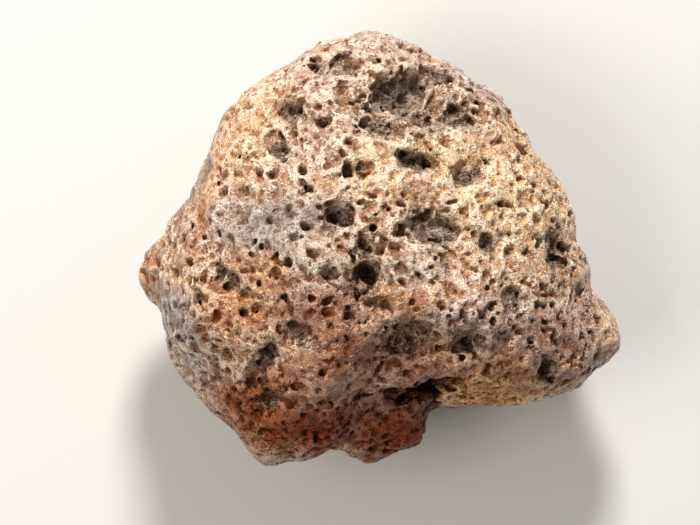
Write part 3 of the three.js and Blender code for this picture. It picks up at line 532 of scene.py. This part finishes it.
def net_faces(inside, number):
    """One face for each crossed edge of the grid, through the vertices of the cells around it."""
    faces = []
    for axis in range(3):
        u, v = (axis + 1) % 3, (axis + 2) % 3
        start = [slice(1, -1)] * 3
        start[axis] = slice(0, -1)
        end = list(start)
        end[axis] = slice(1, None)
        here, there = inside[tuple(start)], inside[tuple(end)]
        offset = np.array([0 if n == axis else 1 for n in range(3)])
        for edges, order in ((here & ~there, 1), (~here & there, -1)):
            at = np.argwhere(edges) + offset
            ring = []
            for du, dv in ((1, 1), (0, 1), (0, 0), (1, 0)):
                cell = at.copy()
                cell[:, u] -= du
                cell[:, v] -= dv
                ring.append(number[tuple(cell.T)])
            faces.append(np.stack(ring, axis=1)[:, ::order])
    return np.concatenate(faces)


def largest_piece(vertices, faces):
    """Drops crumbs and sealed bubbles: keeps the one piece of surface with the most vertices."""
    label = np.arange(len(vertices))
    while True:
        lowest = label[faces].min(axis=1)
        new = label.copy()
        for corner in range(faces.shape[1]):
            np.minimum.at(new, faces[:, corner], lowest)
        new = new[new]
        if (new == label).all():
            break
        label = new
    kept = label == np.bincount(label).argmax()
    number = np.cumsum(kept) - 1
    return vertices[kept], number[faces[kept[faces[:, 0]]]]


def mesh_object(name, vertices, faces):
    """A new object; the vertices are in millimetres."""
    mesh = bpy.data.meshes.new(name)
    mesh.from_pydata((vertices * MM).tolist(), [], faces.tolist())
    made = bpy.data.objects.new(name, mesh)
    bpy.context.scene.collection.objects.link(made)
    return made


def thinned(stone):
    """Fewer triangles, kept where the surface bends most, as the stone's own mesh."""
    thin = stone.modifiers.new("thin", "DECIMATE")
    thin.ratio = min(1.0, MOST_TRIANGLES / (2 * len(stone.data.polygons)))
    seen = stone.evaluated_get(bpy.context.evaluated_depsgraph_get())
    mesh = bpy.data.meshes.new_from_object(seen)
    stone.modifiers.clear()
    stone.data = mesh


# ---------- Places on the stone ----------
def slopes(grid, field, places):
    """Outward unit normals of the field at some places."""
    normals = np.empty((len(places), 3), np.float32)
    for axis in range(3):
        shift = np.zeros(3, np.float32)
        shift[axis] = SLOPE_REACH * grid.step
        normals[:, axis] = grid.read(field, places + shift) - grid.read(field, places - shift)
    return normals / np.linalg.norm(normals, axis=1, keepdims=True)


def face_levels(grid, field):
    """The height of the stone's highest surface over each place of the grid."""
    top = field.shape[2] - 1 - np.argmax(field[:, :, ::-1] < 0, axis=2)
    return grid.low[2] + grid.step * top


def face_axes(normal, turn):
    """Axes of a pit of the face: half-way upright, its length turned from +X by turn degrees."""
    up = normal + np.array((0, 0, 1), np.float32)
    up /= np.linalg.norm(up)
    a = math.radians(turn)
    flat = np.array((math.cos(a), math.sin(a), 0), np.float32)
    flat -= up * flat.dot(up)
    flat /= np.linalg.norm(flat)
    return np.stack([flat, np.cross(up, flat), up])


def face_frame(grid, field, tops, x, y, turn):
    """The place on the face straight under (x, y), and the axes there of a pit turned so."""
    i, j = (int(round((v - low) / grid.step)) for v, low in zip((x, y), grid.low))
    place = np.array((x, y, tops[i, j]), np.float32)
    return place, face_axes(slopes(grid, field, place[None])[0], turn)


def turned_axes(normal, turn):
    """Three axes at right angles, the last along the normal, turned about it."""
    upright = abs(normal[2]) >= 0.9
    side = np.cross(normal, (0.0, 1.0, 0.0) if upright else (0.0, 0.0, 1.0))
    side /= np.linalg.norm(side)
    other = np.cross(normal, side)
    a, b = math.cos(turn), math.sin(turn)
    return np.array([a * side + b * other, a * other - b * side, normal], np.float32)


def blobs(places, patches):
    """How strongly each place lies in any of some oval patches of the face, from 0 to 1."""
    strength = np.zeros(len(places), np.float32)
    for x, y, along_it, across_it, turn, weight in patches:
        a, b = math.cos(math.radians(turn)), math.sin(math.radians(turn))
        dx, dy = places[:, 0] - x, places[:, 1] - y
        u, v = (dx * a + dy * b) / along_it, (dy * a - dx * b) / across_it
        shape = np.exp(-((u * u + v * v) ** 1.5) * PATCH_FADE)
        strength = np.maximum(strength, weight * shape)
    return strength


def on_face_share(places):
    """1 on the face and 0 on the back, with a soft change below the outline."""
    return np.clip((places[:, 2] - BACK_LEVEL) / BACK_FADE, 0, 1)


# ---------- Hollows, pits and walls ----------
def carve_face(field, grid, warp, smooth):
    """The hollows, pits and thin walls that are seen on the face, each in its own place."""
    tops = face_levels(grid, smooth)
    for x, y, length, width, turn, depth in HOLLOWS:
        place, axes = face_frame(grid, smooth, tops, x, y, turn)
        dent(field, grid, warp, place, axes, (length, width), depth)
    for x, y, length, width, turn, depth in FACE_PITS:
        place, axes = face_frame(grid, field, tops, x, y, turn)
        middle = place - axes[2] * FACE_PIT_SINK * depth
        carve(field, grid, warp, middle, axes, (length, width, depth), FACE_PIT_EDGE)
    for x, y, length, width, turn, height in WALLS:
        place, axes = face_frame(grid, smooth, tops, x, y, turn)
        half = (length, width, WALL_ROOT + height)
        raise_wall(field, grid, warp, place - axes[2] * WALL_ROOT, axes, half)


def small_pits(field, grid, rng):
    """Places on the carved skin, outward normals and radii: fewer and smaller on smooth rind."""
    carved = blurred(field, SKIN_RADIUS / grid.step)
    skin, _ = net(carved, grid)
    tried = skin[rng.integers(0, len(skin), TRIED_PITS)]
    normals = slopes(grid, carved, tried)
    face = on_face_share(tried)
    calm = blobs(tried, SMOOTH_PATCHES) * face
    busy = blobs(tried, BUSY_PATCHES) * face
    keep = rng.uniform(0, 1, TRIED_PITS) < PIT_SHARE + BUSY_GAIN * busy - CALM_LOSS * calm
    radius = SMALL_PIT * rng.uniform(0, 1, TRIED_PITS) ** (-1 / PIT_SPREAD)
    radius = np.minimum(radius, LARGEST_SMALL_PIT * (1 - CALM_SHRINK * calm))
    return tried[keep], normals[keep], radius[keep]


def carve_small_pits(field, grid, warp, rng):
    """Thousands of small pits all over, in the hollows too."""
    places, normals, radii = small_pits(field, grid, rng)
    turns = rng.uniform(0, math.tau, len(places))
    for place, normal, radius, turn in zip(places, normals, radii, turns):
        width = radius * rng.uniform(*SMALL_PIT_WIDTH)
        sunk = rng.uniform(*SMALL_PIT_SINK) * radius
        half = (radius, width, radius * rng.uniform(*SMALL_PIT_DEPTH))
        axes = turned_axes(normal, turn)
        carve(field, grid, warp, place - normal * sunk, axes, half, SMALL_PIT_EDGE)


# ---------- Stone ----------
def grow_fields():
    """The grid, the smooth form and the finished surface as fields of distances."""
    rng = np.random.default_rng(SEED)
    low, high = (np.array(corner) / MM for corner in CAD_BOX)
    fine = Grid(low - MARGIN, high + MARGIN, STEP)
    coarse = Grid(low - MARGIN - SPARE, high + MARGIN + SPARE, COARSE_STEP)
    off_outline = np.clip(np.abs(fine.line(2) - OUTLINE_LEVEL) / BEND_FADE, 0, 1)
    bend = [BEND * off_outline * summed(fine, BENDS, rng) for _ in range(3)]
    solid = bent(signed_distances(solid_tree(NODE), coarse), coarse, fine, bend)
    smooth = blurred(solid, SOFTENING / STEP)
    warp = [summed(fine, RAGGED, rng) for _ in range(3)]
    field = ridged(smooth, fine, rng, LUMPS)
    carve_face(field, fine, warp, smooth)
    carve_small_pits(field, fine, warp, rng)
    field = ridged(field, fine, rng, GRAIN, grain_share(field, fine))
    flat_of_rest = -fine.line(2)
    return fine, smooth, np.maximum(field, flat_of_rest[None, None, :])


def corners_of(mesh):
    """The mesh's vertices in millimetres."""
    places = np.empty(3 * len(mesh.vertices), np.float32)
    mesh.vertices.foreach_get("co", places)
    return places.reshape(-1, 3) / MM


def fit(mesh, places):
    """Stretches the stone by a hair, so that it fills the solid's box exactly."""
    low, high = (np.array(corner) for corner in CAD_BOX)
    span = places.max(0) - places.min(0)
    places = low + (places - places.min(0)) * (high - low) / span
    mesh.vertices.foreach_set("co", places.astype(np.float32).ravel())
    mesh.update()


def store(mesh, name, values):
    """One number for each vertex, for the material to read."""
    layer = mesh.attributes.new(name, "FLOAT", "POINT")
    layer.data.foreach_set("value", np.ascontiguousarray(values, np.float32))


def note_relief(mesh, grid, smooth, field, places):
    """How far each vertex lies below the smooth form and below what is around it."""
    store(mesh, "depth", -grid.read(smooth, places))
    store(mesh, "hollow", -grid.read(blurred(field, HOLLOW_REACH / grid.step), places))
    store(mesh, "basin", -grid.read(blurred(field, BASIN_REACH / grid.step), places))


def note_colours(mesh, places):
    """How strongly each named colour of the rind shows at each vertex."""
    rng = np.random.default_rng(SEED + 1)
    box = Grid(places.min(0) - 1, places.max(0) + 1, COLOUR_STEP)
    stray = [box.read(noise(box, STRAY_SIZE, rng), places) for _ in range(3)]
    strayed = places + STRAY * np.stack(stray, axis=1)
    face = on_face_share(places)
    for name, (spread, patches) in COLOUR_PATCHES.items():
        seen = blobs(strayed, patches) * face
        random = box.read(noise(box, spread, rng), places) * BACK_CONTRAST - BACK_THRESHOLD
        store(mesh, name, seen + (1 - face) * np.clip(random, 0, 1))


def make_stone():
    """The one piece of the scene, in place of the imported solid."""
    grid, smooth, field = grow_fields()
    stone = mesh_object("agate_stone", *largest_piece(*net(field, grid)))
    thinned(stone)
    places = corners_of(stone.data)
    note_relief(stone.data, grid, smooth, field, places)
    note_colours(stone.data, places)
    fit(stone.data, places)
    stone.data.shade_smooth()
    stone.data.materials.append(rind_material())
    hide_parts(NODE)
    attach(stone, "root")


# ---------- Words for materials ----------
def colour(code):
    """A colour for a shader from its six-digit screen code."""
    parts = [int(code[i : i + 2], 16) / 255 for i in (0, 2, 4)]
    return [((c + 0.055) / 1.055) ** 2.4 if c > 0.04045 else c / 12.92 for c in parts] + [1.0]


class Shader:
    """Short words for adding nodes to a material."""

    def __init__(self, name):
        self.material = bpy.data.materials.new(name)
        self.material.use_nodes = True
        self.tree = self.material.node_tree
        self.surface = self.tree.nodes["Principled BSDF"]
        self.place = self.add("ShaderNodeTexCoord").outputs["Object"]

    def add(self, kind, **settings):
        """A new node of this kind."""
        node = self.tree.nodes.new(kind)
        for key, value in settings.items():
            setattr(node, key, value)
        return node

    def give(self, socket, value):
        """Links another node's output to a socket, or sets a plain value on it."""
        if isinstance(value, bpy.types.NodeSocket):
            self.tree.links.new(value, socket)
        else:
            socket.default_value = value

    def note(self, name):
        """A number that the mesh keeps for each vertex."""
        return self.add("ShaderNodeAttribute", attribute_name=name).outputs["Fac"]

    def math(self, operation, a, b=0.0):
        """One operation on one or two values."""
        node = self.add("ShaderNodeMath", operation=operation)
        self.give(node.inputs[0], a)
        self.give(node.inputs[1], b)
        return node.outputs[0]

    def times(self, first, *others):
        """The product of some values."""
        for other in others:
            first = self.math("MULTIPLY", first, other)
        return first

    def between(self, value, ends, made=(0.0, 1.0)):
        """The value eased from one pair of ends to another, and held there past them."""
        node = self.add("ShaderNodeMapRange", interpolation_type="SMOOTHSTEP")
        for socket, given in zip(node.inputs, (value, *ends, *made)):
            self.give(socket, given)
        return node.outputs[0]

    def mix(self, share, a, b):
        """This share of the second colour over the first."""
        node = self.add("ShaderNodeMix", data_type="RGBA")
        for name, given in (("Factor_Float", share), ("A_Color", a), ("B_Color", b)):
            self.give(next(s for s in node.inputs if s.identifier == name), given)
        return next(s for s in node.outputs if s.identifier == "Result_Color")

    def bumps(self, size):
        """A noise node, in bumps about this many millimetres across."""
        node = self.add("ShaderNodeTexNoise")
        self.give(node.inputs["Vector"], self.place)
        node.inputs["Scale"].default_value = 1 / (size * MM)
        return node

    def grain(self, size, detail=3.0, roughness=0.6):
        """Noise from 0 to 1, in bumps about this many millimetres across."""
        node = self.bumps(size)
        node.inputs["Detail"].default_value = detail
        node.inputs["Roughness"].default_value = roughness
        return node.outputs["Fac"]

    def wander(self, size, reach):
        """The place, pushed about by up to this reach, so that round patterns turn ragged."""
        pushed = self.add("ShaderNodeVectorMath", operation="MULTIPLY_ADD")
        self.give(pushed.inputs[0], self.bumps(size).outputs["Color"])
        pushed.inputs[1].default_value = (reach * MM,) * 3
        self.give(pushed.inputs[2], self.place)
        return pushed.outputs[0]

    def threads(self, size):
        """1 along thin lines that wander in loops of about this size, else 0."""
        near = self.math("ABSOLUTE", self.math("SUBTRACT", self.grain(size, 2.0, 0.5), 0.5))
        wide = self.between(self.grain(2.5 * size), (0.35, 0.65), THREAD_WIDTHS)
        return self.between(self.math("DIVIDE", near, wide), (0.25, 1.0), (1.0, 0.0))

    def pores(self, size, share):
        """From 0 at the rim to 1 on the floor of ragged pores in this share of their cells."""
        cells = self.add("ShaderNodeTexVoronoi")
        self.give(cells.inputs["Vector"], self.wander(0.5 * size, 0.9 * size))
        cells.inputs["Scale"].default_value = 1 / (size * MM)
        chance = self.add("ShaderNodeSeparateColor")
        self.give(chance.inputs[0], cells.outputs["Color"])
        radius = self.between(chance.outputs[0], (1 - share, 1.0), (0.0, 0.5))
        return self.between(self.math("SUBTRACT", radius, cells.outputs["Distance"]), (0.0, 0.2))


# ---------- The rind's material ----------
def rind_tones(s):
    """The rind's three tones, changed from place to place as the mesh's notes say."""
    tones = list(map(colour, RIND))
    for name, codes in RIND_COLOURS.items():
        share = s.math("MINIMUM", s.note(name), 1.0)
        tones = [s.mix(share, tone, colour(code)) for tone, code in zip(tones, codes)]
    return tones


def rind_marks(s):
    """What the rind's colour, gloss and bump share: its relief, threads, pores and grain."""
    hollow = s.note("hollow")
    return SimpleNamespace(
        hollow=hollow,
        # Paler on crests: partly wear, partly a painted highlight.
        crest_wear_and_highlight=s.between(hollow, (-0.2, -0.03), (0.8, 0.0)),
        basin=s.note("basin"),
        threads=s.math("MAXIMUM", *(s.threads(size) for size in THREADS)),
        large_pores=s.pores(*LARGE_PORES),
        small_pores=s.pores(*SMALL_PORES),
        fine=s.grain(FINE_GRAIN, 2.0),
        specks=s.grain(SPECKS, 1.0),
    )


def clean_rind(s, marks, low, body, thread):
    """The body's colour under pale threads, fewer on the grey, and paler still on crests, partly from wear
    and partly as a painted highlight.
    """
    mottled = s.between(s.grain(MOTTLES), (0.36, 0.6))
    patchy = s.between(s.grain(THREAD_PATCHES), (0.35, 0.65), (0.3, 1.0))
    off_grey = s.between(s.note("grey"), (0.2, 0.9), (1.0, 0.4))
    crest_grain = s.between(marks.fine, (0.35, 0.6), (0.4, 1.0))
    tone = s.mix(mottled, low, body)
    tone = s.mix(s.times(marks.threads, patchy, off_grey), tone, thread)
    # Crests paler, broken up by grain: partly wear, partly a painted highlight.
    return s.mix(s.times(marks.crest_wear_and_highlight, crest_grain), tone, thread)


def soiled_rind(s, marks, tone, low):
    """Lower tones in pores, and in hollows partly as painted shade; rust in patches; clay in basins and
    dark deep pits, both darkened partly as painted shade.
    """
    # Lower tone in hollows found from the relief: partly the rind's own colour, partly painted shade.
    sunken = s.between(marks.hollow, (0.0, 0.18), (0.0, 0.75))
    patchy = s.between(s.grain(RUST_PATCHES), (0.5, 0.62))
    rusty = s.between(marks.hollow, (-0.1, 0.08), (0.05, 0.4))
    # Darker towards clay brown in broad basins: partly clay fill, partly painted shade.
    clayey_shade = s.between(marks.basin, (0.12, 0.6), (0.0, 0.8))
    # The deeper under the smooth form, the darker: partly clay fill, partly painted shade.
    deep_fill_and_shade = s.between(s.note("depth"), (0.8, 2.2), (0.0, 0.75))
    tone = s.mix(s.times(marks.large_pores, PORE_TONE), tone, low)
    tone = s.mix(s.times(marks.small_pores, PORE_TONE), tone, low)
    tone = s.mix(sunken, tone, low)
    tone = s.mix(s.times(patchy, rusty), tone, colour(RUST))
    tone = s.mix(clayey_shade, tone, colour(BASIN_CLAY_AND_SHADE))
    return s.mix(deep_fill_and_shade, tone, colour(DEEP_PIT_FILL_AND_SHADE))


def speckled_rind(s, marks, tone, low, thread):
    """Bright edges inside the basins, from pale threads and partly from a painted highlight on crests, and
    fine dark and bright specks, most on the cream.
    """
    # Pale edges in basins: threads, and crests partly as a painted highlight.
    rim = s.math("MAXIMUM", marks.crest_wear_and_highlight, s.times(marks.threads, THREAD_RIM))
    in_basin = s.between(marks.basin, (0.1, 0.5), (0.0, 0.8))
    vivid = s.between(s.note("cream"), (0.0, 0.5), (0.1, 0.42))
    dark = s.between(marks.specks, (0.34, 0.48), (1.0, 0.0))
    bright = s.between(marks.specks, (0.52, 0.66))
    tone = s.mix(s.times(rim, in_basin), tone, thread)
    tone = s.mix(s.times(vivid, dark), tone, low)
    return s.mix(s.times(vivid, bright), tone, thread)


def rind_roughness(s, marks):
    """Waxy on worn crests and on the grey, dull in the hollows."""
    worn = s.between(marks.hollow, (-0.1, 0.1), (0.24, 0.7))
    waxy = s.between(s.note("grey"), (0.2, 0.9), (1.0, 0.65))
    grainy = s.between(marks.fine, (0.3, 0.7), (0.7, 1.3))
    return s.times(worn, waxy, grainy)


def rind_shine(s, marks):
    """Full shine on worn crests, little in the hollows and on the umber and the gold."""
    worn = s.between(marks.hollow, (-0.1, 0.1), (1.0, 0.12))
    earthy = s.math("MAXIMUM", s.note("umber"), s.note("gold"))
    dull = s.between(earthy, (0.0, 0.8), (1.0, 0.12))
    return s.times(worn, dull)


def rind_bump(s, marks):
    """Raised threads and grain and sunken pores, too fine for the mesh."""
    height = s.math("SUBTRACT", marks.threads, s.times(marks.large_pores, LARGE_PORE_BUMP))
    height = s.math("SUBTRACT", height, s.times(marks.small_pores, SMALL_PORE_BUMP))
    height = s.math("ADD", height, s.times(marks.fine, FINE_BUMP))
    height = s.math("ADD", height, s.times(marks.specks, SPECK_BUMP))
    bump = s.add("ShaderNodeBump")
    s.give(bump.inputs["Height"], height)
    bump.inputs["Strength"].default_value = 1.0
    bump.inputs["Distance"].default_value = BUMP_HEIGHT * MM
    return bump.outputs[0]


def rind_material():
    """Weathered chalcedony: pale waxy threads and crests over rust and tan, with clay in the pits; crests
    paler partly as a painted highlight, pits and basins darker partly as painted shade, and a painted
    shadow in the crevice.
    """
    s = Shader("agate_rind")
    low, body, thread = rind_tones(s)
    marks = rind_marks(s)
    tone = clean_rind(s, marks, low, body, thread)
    tone = soiled_rind(s, marks, tone, low)
    tone = speckled_rind(s, marks, tone, low, thread)
    s.give(s.surface.inputs["Base Color"], tone)
    s.give(s.surface.inputs["Roughness"], rind_roughness(s, marks))
    s.give(s.surface.inputs["Specular IOR Level"], rind_shine(s, marks))
    s.surface.inputs["IOR"].default_value = CHALCEDONY_IOR
    s.give(s.surface.inputs["Normal"], rind_bump(s, marks))
    return s.material


# ---------- Floor, lights and camera ----------
def plain_floor():
    """The pale floor that the stone lies on, which is no part of it."""
    bpy.ops.mesh.primitive_plane_add(size=FLOOR_SIZE * MM)
    floor = bpy.context.object
    floor.name = "floor"
    paint = bpy.data.materials.new("floor_paint")
    paint.use_nodes = True
    shader = paint.node_tree.nodes["Principled BSDF"]
    shader.inputs["Base Color"].default_value = FLOOR_COLOUR
    shader.inputs["Roughness"].default_value = FLOOR_ROUGHNESS
    floor.data.materials.append(paint)


def lamp(name, place, size, power, tint):
    """A square soft lamp, aimed at the middle of the stone."""
    light = bpy.data.lights.new(name, "AREA")
    light.size, light.energy, light.color = size * MM, power, tint
    made = bpy.data.objects.new(name, light)
    made.location = Vector(place) * MM
    way = Vector((0, 0, STONE_MIDDLE * MM)) - made.location
    made.rotation_euler = way.to_track_quat("-Z", "Y").to_euler()
    bpy.context.scene.collection.objects.link(made)


def sky():
    """Soft light from all around."""
    world = bpy.data.worlds.new("studio")
    bpy.context.scene.world = world
    world.use_nodes = True
    back = world.node_tree.nodes["Background"]
    back.inputs["Color"].default_value = SKY_COLOUR
    back.inputs["Strength"].default_value = SKY_STRENGTH


def camera():
    """Straight over the face, as the stone is held to the camera."""
    lens = bpy.data.cameras.new("camera")
    lens.lens = LENS
    made = bpy.data.objects.new("camera", lens)
    away = LENS / lens.sensor_width * PHOTO_WIDTH_PX * MM_PER_PX
    x = (PHOTO_WIDTH_PX / 2 - STONE_CENTRE_PX[0]) * MM_PER_PX
    y = (STONE_CENTRE_PX[1] - PHOTO_HEIGHT_PX / 2) * MM_PER_PX
    made.location = Vector((x, y, OUTLINE_LEVEL + away)) * MM
    lens.clip_start, lens.clip_end = 0.01, 20
    bpy.context.scene.collection.objects.link(made)
    bpy.context.scene.camera = made


camera()
plain_floor()
sky()
for name, settings in LAMPS.items():
    lamp(name, **settings)
make_stone()
bpy.context.scene.view_settings.view_transform = "Standard"
